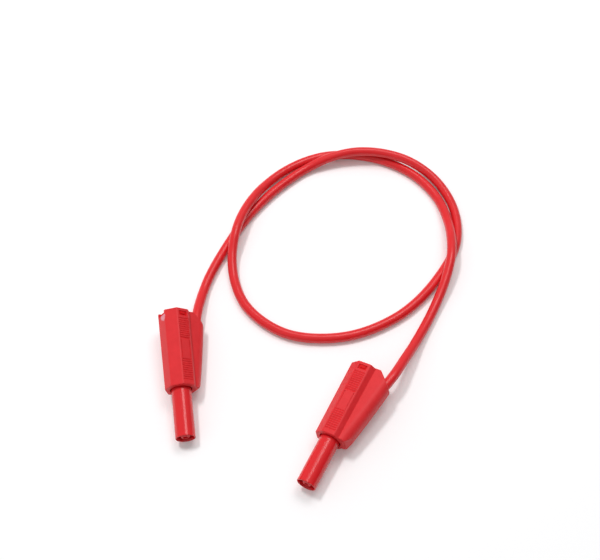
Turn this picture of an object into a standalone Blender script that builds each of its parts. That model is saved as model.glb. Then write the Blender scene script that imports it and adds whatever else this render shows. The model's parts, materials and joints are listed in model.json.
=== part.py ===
"""Test lead: a silicone cable with a stackable 4 mm plug in a sprung safety sleeve at each end.

Each plug is modelled in its own axes, and an empty then lays it on the table:
+X from the plug axis towards the cable hump, +Y from the front face to the rear,
+Z out of the upper ribbed face. All lengths are metres.
"""
import math

import bmesh
import bpy
import numpy as np
from mathutils import Euler, Matrix, Vector

MM = 0.001

# Housing: an eight-sided body that widens a little to the rear
BODY_LENGTH = 35.2 * MM
FLATS_FRONT = 12.6 * MM
FLATS_REAR = 13.3 * MM
RIM_CHAMFER = 0.35 * MM
CHAMBER_DIAMETER = 10.4 * MM
LIP_THICKNESS = 1.6 * MM

# Hump beside the body, which carries the cable
HUMP_HALF_WIDTH = 4.6 * MM
HUMP_NOSE_RADIUS = 3.9 * MM
HUMP_FRONT_REACH = 8.1 * MM
HUMP_REAR_REACH = 13.0 * MM
HUMP_BOW = 0.25 * MM
HUMP_END_LENGTH = 5.9 * MM
HUMP_END_ROOT = 7.1 * MM
HUMP_CHAMFER_ROOT = 6.9 * MM
HUMP_CHAMFER_LENGTH = 3.0 * MM
HUMP_STATIONS = 6
NOSE_STEPS = 5

# Grip ribs on the two ribbed faces, with a plain pad between the two fields
RIB_FIELD_START = 2.3 * MM
RIB_PITCH = 1.0 * MM
RIB_COUNT = 10
RIB_GROOVE_WIDTH = 0.7 * MM
RIB_GROOVE_DEPTH = 0.4 * MM
RIB_SPAN = 4.7 * MM
RIB_REAR_MARGIN = 5.0 * MM
PAD_WIDTH = 4.0 * MM
PAD_LINE_WIDTH = 0.3 * MM
PAD_LINE_DEPTH = 0.25 * MM
BORDER_GROOVE_SHARE = 1.5

# Latch windows in the ribbed faces and the key notch in the back face
WINDOW_WIDTH = 3.7 * MM
WINDOW_LENGTH = 2.2 * MM
WINDOW_FROM_REAR = 1.4 * MM
NOTCH_WIDTH = 4.4 * MM
NOTCH_DEPTH = 2.1 * MM

# Sliding sleeve
SLEEVE_DIAMETER = 8.3 * MM
SLEEVE_BORE = 6.2 * MM
SLEEVE_REACH = 21.2 * MM
SLEEVE_EDGE = 0.25 * MM
SLEEVE_LAND = 0.15 * MM
SLEEVE_TAPER_LENGTH = 1.6 * MM
FLANGE_LENGTH = 2.2 * MM

# Turned contact: a pin in front, a stacking bore behind
PIN_REACH = 20.8 * MM
PIN_HEAD_DIAMETER = 3.9 * MM
PIN_HEAD_LENGTH = 1.9 * MM
PIN_NECK_DIAMETER = 2.5 * MM
PIN_COLLAR_LENGTH = 2.4 * MM
PIN_TIP_FLAT_SHARE = 0.72
PIN_TIP_LENGTH_SHARE = 0.4
PIN_RECESS_DIAMETER = 2.2 * MM
PIN_RECESS_DEPTH = 0.8 * MM
TUBE_DIAMETER = 5.2 * MM
STACK_BORE = 4.1 * MM
STACK_DEPTH = 18.5 * MM
SEAT_THICKNESS = 0.9 * MM

# Sprung cage round the pin
CAGE_LEAVES = 8
CAGE_DIAMETER = 4.3 * MM
CAGE_WALL = 0.25 * MM
CAGE_RING_LENGTH = 1.2 * MM
CAGE_SLOT = 0.4 * MM
CAGE_BOW_PLACES = (0.25, 0.5, 0.75)

# Sleeve spring
WIRE_DIAMETER = 0.5 * MM
SPRING_ROOM = 1.0 * MM
SPRING_ACTIVE_TURNS = 5.5
SPRING_END_TURNS = 1
SPRING_END_PITCH = 1.1 * WIRE_DIAMETER
SPRING_STEPS = 10

# Rear socket insert
INSERT_RECESS = 0.5 * MM
INSERT_LENGTH = 5.8 * MM
MOUTH_DIAMETER = 4.5 * MM
MOUTH_FLARE = 1.0 * MM
MOUTH_PLATE = 1.6 * MM
LATCH_SET_BACK = 0.1 * MM
LATCH_GAP = 0.75 * MM
LEDGE_DEPTH = 0.9 * MM
LEDGE_GAP = 0.1 * MM
TAB_SET_BACK = 0.5 * MM

# Crimp lug in the hump
LUG_THICKNESS = 0.7 * MM
LUG_TAB_WIDTH = 2.4 * MM
CRIMP_DIAMETER = 3.2 * MM
CRIMP_LENGTH = 4.6 * MM
CONDUCTOR_DIAMETER = 1.8 * MM

# Cable
CABLE_DIAMETER = 4.3 * MM
CABLE_ANGLE = 12.0
CABLE_EXIT_SHARE = 0.56
CABLE_LEAD_OUT = 3.5 * MM
CABLE_POINTS = 80
CURVE_SAMPLES = 24

# Clearances
SEAT_GAP = 0.3 * MM
SLEEVE_GAP = 0.4 * MM

# Where each plug lies: front face centre on the table, azimuth of the rear, turn about its own axis,
# and the degrees by which the stiff cable holds the rear end up
PLUGS = {
    "left": {"x": -37.27 * MM, "y": 3.64 * MM, "azimuth": 98.0, "roll": 35.9, "lift": 0.0},
    "right": {"x": 24.03 * MM, "y": -18.96 * MM, "azimuth": 62.9, "roll": -9.0, "lift": 1.5},
}

# The cable's way over the table from the left plug to the right one, in millimetres
ROUTE_MM = [
    (-31.1, 56.7, 2.2), (-21.9, 81.0, 2.2), (-9.0, 103.6, 2.2), (5.4, 119.9, 2.2),
    (15.4, 128.0, 2.6), (26.0, 132.6, 5.0), (38.6, 135.1, 6.7), (52.5, 134.4, 6.6),
    (64.8, 130.0, 6.0), (74.9, 123.3, 3.6), (83.5, 108.9, 2.2), (85.0, 85.3, 2.2),
    (73.6, 62.0, 2.2), (54.0, 41.9, 2.2), (30.1, 32.1, 2.2), (4.6, 34.5, 2.2),
    (-12.2, 48.7, 2.2), (-18.1, 64.6, 2.2), (-19.0, 75.2, 4.2), (-17.7, 85.5, 7.0),
    (-14.6, 97.2, 6.7), (-9.6, 108.0, 5.7), (-3.7, 118.0, 3.1), (5.1, 127.0, 2.2),
    (22.7, 135.9, 2.2), (45.6, 135.7, 2.2), (66.1, 125.3, 2.2), (78.0, 109.0, 2.2),
    (81.3, 94.8, 3.8), (81.6, 83.1, 6.5), (80.7, 72.5, 7.2), (77.5, 61.0, 5.1),
    (72.5, 49.1, 2.9), (62.2, 28.9, 3.8), (56.3, 18.1, 7.2),
]

ROUND_STEPS = 24
CONTACT_STEPS = 20
BAR_STEPS = 16
WIRE_STEPS = 12
OCTAGON = 8
LAY_STEPS = 20
CUT_MARGIN = 1.0 * MM

# Widths that follow from the chamber
FLANGE_DIAMETER = CHAMBER_DIAMETER - 2 * SEAT_GAP
SEAT_DIAMETER = FLANGE_DIAMETER - 2 * SEAT_GAP
SPRING_DIAMETER = CHAMBER_DIAMETER - 2 * SPRING_ROOM

# Places along the plug axis, counted forward from the rear end, and the stroke they leave the sleeve
INSERT_REAR = BODY_LENGTH - INSERT_RECESS
INSERT_FRONT = INSERT_REAR - INSERT_LENGTH
PLATE_FRONT = INSERT_REAR - MOUTH_PLATE
CONTACT_REAR = PLATE_FRONT - SEAT_GAP
LUG_REAR = INSERT_FRONT - SEAT_GAP
LUG_FRONT = LUG_REAR - LUG_THICKNESS
SEAT_REAR = LUG_FRONT - SEAT_GAP
SEAT_FRONT = SEAT_REAR - SEAT_THICKNESS
SLEEVE_FLANGE_FRONT = LIP_THICKNESS + SEAT_GAP
SLEEVE_FLANGE_REAR = SLEEVE_FLANGE_FRONT + FLANGE_LENGTH
SPRING_TURNS = SPRING_ACTIVE_TURNS + 2 * SPRING_END_TURNS
SPRING_SOLID = (SPRING_TURNS + 0.5) * WIRE_DIAMETER
SLEEVE_STROKE = SEAT_FRONT - SEAT_GAP - SPRING_SOLID - SLEEVE_FLANGE_REAR
HUMP_CORNER = BODY_LENGTH - HUMP_END_LENGTH
FIELD_LENGTH = RIB_PITCH * (RIB_COUNT - 1)
RIB_REAR_START = BODY_LENGTH - RIB_REAR_MARGIN - FIELD_LENGTH


def clear_scene():
    for obj in list(bpy.data.objects):
        bpy.data.objects.remove(obj)


def material(name, color, roughness, metallic=0.0):
    mat = bpy.data.materials.new(name)
    mat.use_nodes = True
    shader = mat.node_tree.nodes["Principled BSDF"]
    shader.inputs["Base Color"].default_value = (*color, 1.0)
    shader.inputs["Roughness"].default_value = roughness
    shader.inputs["Metallic"].default_value = metallic
    return mat


def half_flats(y):
    """Half the distance across the body's flats at a station along the axis."""
    return (FLATS_FRONT + (FLATS_REAR - FLATS_FRONT) * y / BODY_LENGTH) / 2


def hump_reach(y):
    """How far the hump's nose stands from the plug axis at a station along it."""
    share = y / HUMP_CORNER
    straight = HUMP_FRONT_REACH + (HUMP_REAR_REACH - HUMP_FRONT_REACH) * share
    return straight + 4 * HUMP_BOW * share * (1 - share)


def add_object(name, bm, mat, parent, smooth=True):
    bmesh.ops.recalc_face_normals(bm, faces=bm.faces[:])
    mesh = bpy.data.meshes.new(name)
    bm.to_mesh(mesh)
    bm.free()
    if mat:
        mesh.materials.append(mat)
    obj = bpy.data.objects.new(name, mesh)
    bpy.context.scene.collection.objects.link(obj)
    obj.parent = parent
    if smooth:
        mesh.shade_smooth()
        mesh.set_sharp_from_angle(angle=math.radians(30))
    return obj


def add_cutter(name, bm, parent):
    cutter = add_object(name, bm, None, parent, smooth=False)
    cutter.hide_render = True
    cutter.display_type = "WIRE"
    return cutter


def boolean(obj, other, operation):
    modifier = obj.modifiers.new(other.name, "BOOLEAN")
    modifier.operation = operation
    modifier.solver = "EXACT"
    modifier.object = other


def skin(bm, rings):
    """Closed solid through rings of as many points each, in order along the form."""
    loops = [[bm.verts.new(point) for point in ring] for ring in rings]
    for near, far in zip(loops[:-1], loops[1:]):
        count = len(near)
        for i in range(count):
            j = (i + 1) % count
            bm.faces.new((near[i], near[j], far[j], far[i]))
    bm.faces.new(loops[0])
    bm.faces.new(loops[-1])


def box(bm, low, high):
    size = Vector(high) - Vector(low)
    centre = (Vector(high) + Vector(low)) / 2
    place = Matrix.Translation(centre) @ Matrix.Diagonal((*size, 1.0))
    bmesh.ops.create_cube(bm, size=1.0, matrix=place)


def turned(profile, steps=ROUND_STEPS):
    """Solid of revolution about Y from a closed profile of (y, radius) points."""
    bm = bmesh.new()
    verts = [bm.verts.new((radius, y, 0.0)) for y, radius in profile]
    edges = [bm.edges.new((verts[i - 1], verts[i])) for i in range(len(verts))]
    bmesh.ops.spin(bm, geom=verts + edges, cent=(0, 0, 0), axis=(0, 1, 0),
                   angle=2 * math.pi, steps=steps, use_merge=True)
    bmesh.ops.remove_doubles(bm, verts=bm.verts[:], dist=1e-6)
    loose = [edge for edge in bm.edges if not edge.link_faces]
    bmesh.ops.delete(bm, geom=loose, context="EDGES")
    return bm


def rod(bm, start, end, diameter, steps=ROUND_STEPS):
    """Straight round bar between two points."""
    start = Vector(start)
    run = Vector(end) - start
    turn = run.to_track_quat("Z", "Y").to_matrix().to_4x4()
    place = Matrix.Translation(start + run / 2) @ turn
    bmesh.ops.create_cone(bm, cap_ends=True, segments=steps, radius1=diameter / 2,
                          radius2=diameter / 2, depth=run.length, matrix=place)


def cable_line(y):
    """Point of the cable's axis inside the plug, in the plug's own axes."""
    exit_x = HUMP_END_ROOT + (hump_reach(HUMP_CORNER) - HUMP_END_ROOT) * CABLE_EXIT_SHARE
    exit_y = BODY_LENGTH - HUMP_END_LENGTH * CABLE_EXIT_SHARE
    return Vector((exit_x + (y - exit_y) * math.tan(math.radians(CABLE_ANGLE)), y, 0.0))


def jacket_end():
    return LUG_REAR + SEAT_GAP


# Housing


def eight_sided_body():
    bm = bmesh.new()
    stations = [(0.0, RIM_CHAMFER), (RIM_CHAMFER, 0.0),
                (BODY_LENGTH - RIM_CHAMFER, 0.0), (BODY_LENGTH, RIM_CHAMFER)]
    rings = []
    for y, inset in stations:
        radius = (half_flats(y) - inset) / math.cos(math.pi / OCTAGON)
        angles = [(i + 0.5) * 2 * math.pi / OCTAGON for i in range(OCTAGON)]
        rings.append([(radius * math.cos(a), y, radius * math.sin(a)) for a in angles])
    skin(bm, rings)
    return bm


def hump_outline(y):
    reach = hump_reach(y)
    centre = reach - HUMP_NOSE_RADIUS
    rise = HUMP_HALF_WIDTH - HUMP_NOSE_RADIUS
    points = [(0.0, y, -HUMP_HALF_WIDTH)]
    for side in (-1, 1):
        for i in range(NOSE_STEPS + 1):
            angle = math.pi / 2 * i / NOSE_STEPS
            angle = angle - math.pi / 2 if side < 0 else angle
            points.append((centre + HUMP_NOSE_RADIUS * math.cos(angle), y,
                           side * rise + HUMP_NOSE_RADIUS * math.sin(angle)))
    points.append((0.0, y, HUMP_HALF_WIDTH))
    return points


def slice_off(bm, point, normal):
    """Cuts away what lies beyond a plane and closes the cut."""
    geom = bm.verts[:] + bm.edges[:] + bm.faces[:]
    cut = bmesh.ops.bisect_plane(bm, geom=geom, plane_co=point, plane_no=normal,
                                 clear_outer=True, dist=1e-7)
    rim = [item for item in cut["geom_cut"] if isinstance(item, bmesh.types.BMEdge)]
    bmesh.ops.edgeloop_fill(bm, edges=rim)


def hump():
    bm = bmesh.new()
    front = RIM_CHAMFER
    length = BODY_LENGTH - front
    rings = [hump_outline(front + length * i / HUMP_STATIONS) for i in range(HUMP_STATIONS + 1)]
    skin(bm, rings)
    bmesh.ops.recalc_face_normals(bm, faces=bm.faces[:])
    rear_run = Vector((hump_reach(HUMP_CORNER) - HUMP_END_ROOT, -HUMP_END_LENGTH, 0.0))
    slice_off(bm, (HUMP_END_ROOT, BODY_LENGTH, 0.0), (-rear_run.y, rear_run.x, 0.0))
    front_run = Vector((hump_reach(HUMP_CHAMFER_LENGTH) - HUMP_CHAMFER_ROOT, HUMP_CHAMFER_LENGTH, 0.0))
    slice_off(bm, (HUMP_CHAMFER_ROOT, front, 0.0), (front_run.y, -front_run.x, 0.0))
    return bm


def bores():
    """Lip hole and chamber, open at both ends."""
    lip = SLEEVE_DIAMETER / 2 + SLEEVE_GAP
    chamber = CHAMBER_DIAMETER / 2
    return turned([(-CUT_MARGIN, 0.0), (-CUT_MARGIN, lip), (LIP_THICKNESS, lip),
                   (LIP_THICKNESS, chamber), (BODY_LENGTH + CUT_MARGIN, chamber),
                   (BODY_LENGTH + CUT_MARGIN, 0.0)])


def grip_cuts():
    """Rib grooves of both fields and the two fine lines along the pad between them."""
    bm = bmesh.new()
    pad_start = RIB_FIELD_START + FIELD_LENGTH + RIB_GROOVE_WIDTH
    pad_end = RIB_REAR_START - RIB_GROOVE_WIDTH * BORDER_GROOVE_SHARE
    for side_x in (-1, 1):
        for side_z in (-1, 1):
            x = side_x * PAD_WIDTH / 2
            top = half_flats((pad_start + pad_end) / 2)
            low_z, high_z = sorted((side_z * (top - PAD_LINE_DEPTH), side_z * (top + CUT_MARGIN)))
            box(bm, (x - PAD_LINE_WIDTH / 2, pad_start, low_z), (x + PAD_LINE_WIDTH / 2, pad_end, high_z))
    for start in (RIB_FIELD_START, RIB_REAR_START):
        for i in range(RIB_COUNT):
            y = start + RIB_PITCH * i
            share = BORDER_GROOVE_SHARE if y == RIB_REAR_START else 1.0
            reach = (RIB_GROOVE_WIDTH * share + CUT_MARGIN / 2) / 2
            top = half_flats(y)
            for side in (-1, 1):
                profile = [(y - reach, top + CUT_MARGIN / 4), (y + reach, top + CUT_MARGIN / 4),
                           (y, top - RIB_GROOVE_DEPTH * share)]
                rings = [[(x, py, side * pz) for py, pz in profile]
                         for x in (-RIB_SPAN / 2, RIB_SPAN / 2)]
                skin(bm, rings)
    return bm


def openings_in_walls():
    """Latch windows in both ribbed faces and the key notch in the back face."""
    bm = bmesh.new()
    rear = BODY_LENGTH - WINDOW_FROM_REAR
    for side in (-1, 1):
        inner = CHAMBER_DIAMETER / 4
        outer = FLATS_REAR / 2 + CUT_MARGIN
        low_z, high_z = sorted((side * inner, side * outer))
        box(bm, (-WINDOW_WIDTH / 2, rear - WINDOW_LENGTH, low_z), (WINDOW_WIDTH / 2, rear, high_z))
    box(bm, (-FLATS_REAR / 2 - CUT_MARGIN, BODY_LENGTH - NOTCH_DEPTH, -NOTCH_WIDTH / 2),
        (-CHAMBER_DIAMETER / 4, BODY_LENGTH + CUT_MARGIN, NOTCH_WIDTH / 2))
    return bm


def crimp_pocket():
    bm = bmesh.new()
    low = cable_line(LUG_REAR - CRIMP_LENGTH - 2 * SEAT_GAP)
    high = cable_line(jacket_end() + SEAT_GAP)
    rod(bm, low, high, CRIMP_DIAMETER + 2 * SEAT_GAP, BAR_STEPS)
    return bm


def cable_channel():
    bm = bmesh.new()
    low = cable_line(jacket_end() - SEAT_GAP)
    high = cable_line(BODY_LENGTH + 2 * CUT_MARGIN)
    rod(bm, low, high, CABLE_DIAMETER + 2 * SEAT_GAP, BAR_STEPS)
    return bm


def lug_slot():
    """Closed slot that takes the lug's tab from the chamber into the hump."""
    bm = bmesh.new()
    half = LUG_TAB_WIDTH / 2 + SEAT_GAP
    inner = CHAMBER_DIAMETER / 4
    box(bm, (inner, LUG_FRONT - SEAT_GAP, -half), (cable_line(LUG_FRONT).x, LUG_REAR + SEAT_GAP, half))
    return bm


def make_housing(prefix, empty, mat):
    housing = add_object(prefix + "_housing", eight_sided_body(), mat, empty)
    boolean(housing, add_cutter(prefix + "_hump_form", hump(), empty), "UNION")
    boolean(housing, add_cutter(prefix + "_bores", bores(), empty), "DIFFERENCE")
    boolean(housing, add_cutter(prefix + "_lug_slot", lug_slot(), empty), "DIFFERENCE")
    boolean(housing, add_cutter(prefix + "_crimp_pocket", crimp_pocket(), empty), "DIFFERENCE")
    boolean(housing, add_cutter(prefix + "_cable_channel", cable_channel(), empty), "DIFFERENCE")
    boolean(housing, add_cutter(prefix + "_wall_openings", openings_in_walls(), empty), "DIFFERENCE")
    boolean(housing, add_cutter(prefix + "_grip_cuts", grip_cuts(), empty), "DIFFERENCE")
    return housing


# Sleeve, spring and contact


def make_sleeve(prefix, empty, mat):
    outer = SLEEVE_DIAMETER / 2
    inner = SLEEVE_BORE / 2
    flange = FLANGE_DIAMETER / 2
    front = -SLEEVE_REACH
    mouth = outer - SLEEVE_EDGE - SLEEVE_LAND
    profile = [(front, mouth), (front, outer - SLEEVE_EDGE), (front + SLEEVE_EDGE, outer),
               (SLEEVE_FLANGE_FRONT, outer), (SLEEVE_FLANGE_FRONT, flange), (SLEEVE_FLANGE_REAR, flange),
               (SLEEVE_FLANGE_REAR, inner), (front + SLEEVE_TAPER_LENGTH, inner)]
    return add_object(prefix + "_sleeve", turned(profile), mat, empty)


def make_spring(prefix, empty, mat):
    radius = SPRING_DIAMETER / 2 - WIRE_DIAMETER / 2
    start = SLEEVE_FLANGE_REAR + SEAT_GAP + WIRE_DIAMETER / 2
    end = SEAT_FRONT - SEAT_GAP - WIRE_DIAMETER / 2
    closed = SPRING_END_PITCH * SPRING_END_TURNS
    count = int(SPRING_TURNS * SPRING_STEPS)
    active = (end - start - 2 * closed) / SPRING_ACTIVE_TURNS
    curve = bpy.data.curves.new(prefix + "_spring", "CURVE")
    curve.dimensions = "3D"
    curve.bevel_depth = WIRE_DIAMETER / 2
    curve.bevel_resolution = 1
    curve.use_fill_caps = True
    spline = curve.splines.new("POLY")
    spline.points.add(count)
    for i in range(count + 1):
        turn = SPRING_TURNS * i / count
        if turn < SPRING_END_TURNS:
            y = start + SPRING_END_PITCH * turn
        elif turn > SPRING_TURNS - SPRING_END_TURNS:
            y = end - SPRING_END_PITCH * (SPRING_TURNS - turn)
        else:
            y = start + closed + active * (turn - SPRING_END_TURNS)
        angle = 2 * math.pi * turn
        spline.points[i].co = (radius * math.cos(angle), y, radius * math.sin(angle), 1.0)
    curve.materials.append(mat)
    spring = bpy.data.objects.new(prefix + "_sleeve_spring", curve)
    bpy.context.scene.collection.objects.link(spring)
    spring.parent = empty
    return spring


def make_contact(prefix, empty, mat):
    head = PIN_HEAD_DIAMETER / 2
    neck = PIN_NECK_DIAMETER / 2
    tube = TUBE_DIAMETER / 2
    bore = STACK_BORE / 2
    tip = -PIN_REACH
    flat = head * PIN_TIP_FLAT_SHARE
    recess = PIN_RECESS_DIAMETER / 2
    nose = [(tip + head * PIN_TIP_LENGTH_SHARE * (1 - math.cos(a)), flat + (head - flat) * math.sin(a))
            for a in (math.pi / 2 * i / 3 for i in range(4))]
    profile = [(tip + PIN_RECESS_DEPTH, 0.0), (tip + PIN_RECESS_DEPTH, recess), (tip, recess)] + nose
    profile += [(tip + PIN_HEAD_LENGTH, head), (tip + PIN_HEAD_LENGTH, neck),
                (-PIN_COLLAR_LENGTH, neck), (-PIN_COLLAR_LENGTH, head), (0.0, head),
                (tube - head, tube), (SEAT_FRONT, tube), (SEAT_FRONT, SEAT_DIAMETER / 2),
                (SEAT_REAR, SEAT_DIAMETER / 2), (SEAT_REAR, tube), (CONTACT_REAR, tube),
                (CONTACT_REAR, bore), (CONTACT_REAR - STACK_DEPTH, bore),
                (CONTACT_REAR - STACK_DEPTH - bore / 2, 0.0)]
    return add_object(prefix + "_contact", turned(profile, CONTACT_STEPS), mat, empty)


def make_cage(prefix, empty, mat):
    """Sprung cage: two rings joined by bowed leaves."""
    front = -PIN_REACH + PIN_HEAD_LENGTH + SEAT_GAP
    rear = -PIN_COLLAR_LENGTH - SEAT_GAP
    ring = PIN_NECK_DIAMETER / 2 + SEAT_GAP + CAGE_WALL
    crown = CAGE_DIAMETER / 2
    outer = [(front, ring), (front + CAGE_RING_LENGTH, ring)]
    bow_start = front + CAGE_RING_LENGTH
    bow_length = rear - front - 2 * CAGE_RING_LENGTH
    for share in CAGE_BOW_PLACES:
        outer.append((bow_start + bow_length * share, ring + (crown - ring) * math.sin(math.pi * share)))
    outer += [(rear - CAGE_RING_LENGTH, ring), (rear, ring)]
    inner = [(y, radius - CAGE_WALL) for y, radius in reversed(outer)]
    cage = add_object(prefix + "_pin_cage", turned(outer + inner, CAGE_LEAVES * 2), mat, empty)
    slots = bmesh.new()
    for i in range(CAGE_LEAVES // 2):
        turn = Matrix.Rotation(math.pi * (i + 0.25) / (CAGE_LEAVES // 2), 4, "Y")
        for side in (-1, 1):
            low = Vector((side * (ring - CAGE_WALL * 3), bow_start, -CAGE_SLOT / 2))
            high = Vector((side * (crown + CUT_MARGIN), bow_start + bow_length, CAGE_SLOT / 2))
            first = len(slots.verts)
            box(slots, low, high)
            slots.verts.ensure_lookup_table()
            bmesh.ops.transform(slots, matrix=turn, verts=slots.verts[first:])
    bmesh.ops.recalc_face_normals(slots, faces=slots.faces[:])
    boolean(cage, add_cutter(prefix + "_cage_slots", slots, empty), "DIFFERENCE")
    return cage


def make_insert(prefix, empty, mat):
    """Rear socket insert with its two latch lugs and key tab."""
    outer = CHAMBER_DIAMETER / 2 - SEAT_GAP
    bore = TUBE_DIAMETER / 2 + SEAT_GAP
    mouth = MOUTH_DIAMETER / 2
    profile = [(INSERT_FRONT, bore), (INSERT_FRONT, outer), (INSERT_REAR, outer),
               (INSERT_REAR, mouth + MOUTH_FLARE), (INSERT_REAR - MOUTH_FLARE, mouth),
               (PLATE_FRONT, mouth), (PLATE_FRONT, bore)]
    insert = add_object(prefix + "_socket_insert", turned(profile), mat, empty)
    window_rear = BODY_LENGTH - WINDOW_FROM_REAR
    ledges = bmesh.new()
    lugs = bmesh.new()
    inside = (outer + bore) / 2
    top = half_flats(window_rear) - LATCH_SET_BACK
    for side in (-1, 1):
        low_z, high_z = sorted((side * inside, side * (top - LEDGE_DEPTH)))
        box(ledges, (-WINDOW_WIDTH / 2 + LEDGE_GAP, window_rear - WINDOW_LENGTH + LEDGE_GAP, low_z),
            (WINDOW_WIDTH / 2 - LEDGE_GAP, window_rear - 2 * LEDGE_GAP, high_z))
        low_z, high_z = sorted((side * inside, side * top))
        box(lugs, (-WINDOW_WIDTH / 2 + LATCH_GAP, window_rear - WINDOW_LENGTH + LATCH_GAP, low_z),
            (WINDOW_WIDTH / 2 - LATCH_GAP, window_rear - LEDGE_GAP, high_z))
    tab_front = BODY_LENGTH - NOTCH_DEPTH + SEAT_GAP
    box(lugs, (-half_flats(BODY_LENGTH) + TAB_SET_BACK, tab_front, -NOTCH_WIDTH / 2 + SEAT_GAP),
        (-inside, INSERT_REAR - SEAT_GAP, NOTCH_WIDTH / 2 - SEAT_GAP))
    boolean(insert, add_cutter(prefix + "_lug_ledges", ledges, empty), "UNION")
    boolean(insert, add_cutter(prefix + "_insert_lugs", lugs, empty), "UNION")
    return insert


def make_lug(prefix, empty, mat):
    """Ring behind the contact's seat, a tab into the hump and the crimped barrel."""
    profile = [(LUG_FRONT, TUBE_DIAMETER / 2 + SEAT_GAP), (LUG_FRONT, SEAT_DIAMETER / 2),
               (LUG_REAR, SEAT_DIAMETER / 2), (LUG_REAR, TUBE_DIAMETER / 2 + SEAT_GAP)]
    lug = add_object(prefix + "_crimp_lug", turned(profile), mat, empty)
    tab = bmesh.new()
    inside = (SEAT_DIAMETER + TUBE_DIAMETER) / 4
    line = cable_line(LUG_FRONT)
    box(tab, (inside, LUG_FRONT, -LUG_TAB_WIDTH / 2), (line.x - CRIMP_DIAMETER / 4, LUG_REAR, LUG_TAB_WIDTH / 2))
    boolean(lug, add_cutter(prefix + "_lug_tab", tab, empty), "UNION")
    barrel = bmesh.new()
    rod(barrel, cable_line(LUG_REAR - CRIMP_LENGTH), cable_line(LUG_REAR), CRIMP_DIAMETER, BAR_STEPS)
    boolean(lug, add_cutter(prefix + "_crimp_barrel", barrel, empty), "UNION")
    hole = bmesh.new()
    rod(hole, cable_line(LUG_REAR - CRIMP_LENGTH - CUT_MARGIN), cable_line(LUG_REAR + CUT_MARGIN),
        CONDUCTOR_DIAMETER + 2 * SEAT_GAP, WIRE_STEPS)
    boolean(lug, add_cutter(prefix + "_crimp_hole", hole, empty), "DIFFERENCE")
    return lug


def make_conductor(prefix, empty, mat):
    bm = bmesh.new()
    rod(bm, cable_line(LUG_REAR - CRIMP_LENGTH + SEAT_GAP), cable_line(jacket_end() - SEAT_GAP / 2),
        CONDUCTOR_DIAMETER, WIRE_STEPS)
    return add_object(prefix + "_conductor", bm, mat, empty)


# Laying the plugs on the table


def outline_points(y):
    """Corners of the housing's section at a station, for finding its lowest point."""
    radius = half_flats(y) / math.cos(math.pi / OCTAGON)
    angles = [(i + 0.5) * 2 * math.pi / OCTAGON for i in range(OCTAGON)]
    points = [(radius * math.cos(a), y, radius * math.sin(a)) for a in angles]
    if y <= HUMP_CORNER:
        points += hump_outline(y)
    return points


def plug_depth(y, roll):
    """Depth below the plug axis of the housing's lowest point at a station, for a turn about the axis."""
    turn = Euler((0.0, math.radians(roll), 0.0)).to_matrix()
    return -min((turn @ Vector(point)).z for point in outline_points(y))


def make_empty(prefix, lie):
    """Empty at the centre of the plug's front face, turned so that the housing rests on the table."""
    front = plug_depth(RIM_CHAMFER, lie["roll"])
    stations = [BODY_LENGTH * i / LAY_STEPS for i in range(4, LAY_STEPS)] + [HUMP_CORNER]
    slope = max((plug_depth(y, lie["roll"]) - front) / (y - RIM_CHAMFER) for y in stations)
    empty = bpy.data.objects.new(prefix + "_plug", None)
    bpy.context.scene.collection.objects.link(empty)
    empty.rotation_mode = "YXZ"
    pitch = math.atan(slope) + math.radians(lie["lift"])
    empty.rotation_euler = (pitch, math.radians(lie["roll"]), math.radians(lie["azimuth"] - 90))
    empty.location = (lie["x"], lie["y"], front)
    return empty


# Cable


def smooth_through(points, count):
    """Even points along a smooth curve through the given ones, kept from sinking into the table."""
    points = np.array(points, dtype=float)
    knots = np.concatenate([[0.0], np.cumsum(np.linalg.norm(np.diff(points, axis=0), axis=1))])
    slopes = np.gradient(points, knots, axis=0)
    dense = []
    for i in range(len(points) - 1):
        span = knots[i + 1] - knots[i]
        for t in np.linspace(0, 1, CURVE_SAMPLES, endpoint=False):
            dense.append((2 * t**3 - 3 * t**2 + 1) * points[i] + (t**3 - 2 * t**2 + t) * span * slopes[i]
                         + (3 * t**2 - 2 * t**3) * points[i + 1] + (t**3 - t**2) * span * slopes[i + 1])
    dense.append(points[-1])
    dense = np.array(dense)
    dense[:, 2] = np.maximum(dense[:, 2], CABLE_DIAMETER / 2)
    along = np.concatenate([[0.0], np.cumsum(np.linalg.norm(np.diff(dense, axis=0), axis=1))])
    places = np.linspace(0, along[-1], count)
    return np.stack([np.interp(places, along, dense[:, k]) for k in range(3)], axis=1)


def cable_end_points(empty):
    """Jacket end, exit and a straight lead-out of the cable at one plug, from inside to outside."""
    stations = (jacket_end(), cable_exit_y(), cable_exit_y() + CABLE_LEAD_OUT)
    return [tuple(empty.matrix_world @ cable_line(y)) for y in stations]


def cable_exit_y():
    return BODY_LENGTH - HUMP_END_LENGTH * CABLE_EXIT_SHARE


def make_cable(empties, mat):
    route = [tuple(value * MM for value in point) for point in ROUTE_MM]
    points = cable_end_points(empties["left"]) + route + cable_end_points(empties["right"])[::-1]
    curve = bpy.data.curves.new("cable", "CURVE")
    curve.dimensions = "3D"
    curve.bevel_depth = CABLE_DIAMETER / 2
    curve.bevel_resolution = 2
    curve.use_fill_caps = True
    spline = curve.splines.new("POLY")
    spline.points.add(CABLE_POINTS - 1)
    for target, point in zip(spline.points, smooth_through(points, CABLE_POINTS)):
        target.co = (*point, 1.0)
    curve.materials.append(mat)
    cable = bpy.data.objects.new("cable", curve)
    bpy.context.scene.collection.objects.link(cable)
    return cable


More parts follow.
